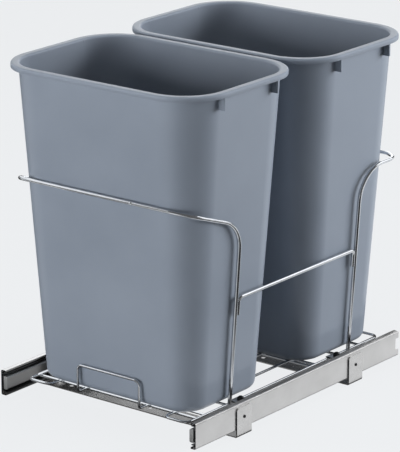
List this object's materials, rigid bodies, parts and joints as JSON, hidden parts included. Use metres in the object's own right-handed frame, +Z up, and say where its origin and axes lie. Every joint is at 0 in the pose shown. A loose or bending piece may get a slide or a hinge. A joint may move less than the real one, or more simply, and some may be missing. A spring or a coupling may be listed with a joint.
{
  "type": "pull-out bin frame",
  "caption": "Pull-out kitchen bin frame: two tapered grey bins on a chromed wire carriage between full-extension ball slides on floor straps.",
  "frame": {"origin": "middle of the floor screw pattern, on the cabinet floor under the straps", "axes": "+X to the right, +Y to the back of the cabinet (the carriage pulls out along -Y), +Z up"},
  "size_m": [0.375, 0.547, 0.5218],
  "materials": {
    "slide_zinc": "satin zinc plated sheet",
    "strap_steel": "dull zinc plated strip",
    "fixing_steel": "zinc plated rivets and screws",
    "cage_steel": "plain stamped sheet",
    "ball_steel": "polished",
    "chrome_wire": "bright chrome plated wire",
    "black_rubber": "matte",
    "black_plastic": "smooth black",
    "bin_plastic": "satin moulded blue-grey"
  },
  "bodies": {
    "cabinet_rails": {"front_strap": "strap_steel", "rear_strap": "strap_steel", "left_outer_member": "slide_zinc", "right_outer_member": "slide_zinc", "strap_rivets": "fixing_steel", "rail_bumpers": "black_rubber"},
    "left_middle": {"left_middle_member": "slide_zinc"},
    "right_middle": {"right_middle_member": "slide_zinc"},
    "left_outer_race": {"left_outer_cage": "cage_steel", "left_outer_balls": "ball_steel"},
    "left_inner_race": {"left_inner_cage": "cage_steel", "left_inner_balls": "ball_steel"},
    "right_outer_race": {"right_outer_cage": "cage_steel", "right_outer_balls": "ball_steel"},
    "right_inner_race": {"right_inner_cage": "cage_steel", "right_inner_balls": "ball_steel"},
    "carriage": {"left_inner_member": "slide_zinc", "right_inner_member": "slide_zinc", "perimeter_wire": "chrome_wire", "rest_wires": "chrome_wire", "cross_wires": "chrome_wire", "front_hoop": "chrome_wire", "rear_hoop": "chrome_wire", "left_side_bar": "chrome_wire", "right_side_bar": "chrome_wire", "bin_stop": "chrome_wire", "front_left_bracket": "slide_zinc", "front_right_bracket": "slide_zinc", "rear_left_bracket": "slide_zinc", "rear_right_bracket": "slide_zinc", "bracket_screws": "fixing_steel", "bracket_caps": "black_plastic"},
    "front_bin_body": {"front_bin": "bin_plastic"},
    "rear_bin_body": {"rear_bin": "bin_plastic"}
  },
  "joints": [
    {"name": "pull_out", "type": "slide", "parent": "cabinet_rails", "child": "carriage", "axis": [0, -1, 0], "range_m": [0, 0.46]},
    {"name": "left_middle_slide", "type": "slide", "parent": "cabinet_rails", "child": "left_middle", "axis": [0, -1, 0], "range_m": [0, 0.23]},
    {"name": "left_outer_race_slide", "type": "slide", "parent": "cabinet_rails", "child": "left_outer_race", "axis": [0, -1, 0], "range_m": [0, 0.115]},
    {"name": "left_inner_race_slide", "type": "slide", "parent": "cabinet_rails", "child": "left_inner_race", "axis": [0, -1, 0], "range_m": [0, 0.345]},
    {"name": "right_middle_slide", "type": "slide", "parent": "cabinet_rails", "child": "right_middle", "axis": [0, -1, 0], "range_m": [0, 0.23]},
    {"name": "right_outer_race_slide", "type": "slide", "parent": "cabinet_rails", "child": "right_outer_race", "axis": [0, -1, 0], "range_m": [0, 0.115]},
    {"name": "right_inner_race_slide", "type": "slide", "parent": "cabinet_rails", "child": "right_inner_race", "axis": [0, -1, 0], "range_m": [0, 0.345]},
    {"name": "front_bin_lift", "type": "slide", "parent": "carriage", "child": "front_bin_body", "axis": [0, 0, 1], "range_m": [0, 0.5]},
    {"name": "rear_bin_lift", "type": "slide", "parent": "carriage", "child": "rear_bin_body", "axis": [0, 0, 1], "range_m": [0, 0.5]}
  ],
  "couplings": [
    {"joint": "left_middle_slide", "follows": "pull_out", "ratio": 0.5},
    {"joint": "left_outer_race_slide", "follows": "pull_out", "ratio": 0.25},
    {"joint": "left_inner_race_slide", "follows": "pull_out", "ratio": 0.75},
    {"joint": "right_middle_slide", "follows": "pull_out", "ratio": 0.5},
    {"joint": "right_outer_race_slide", "follows": "pull_out", "ratio": 0.25},
    {"joint": "right_inner_race_slide", "follows": "pull_out", "ratio": 0.75}
  ]
}
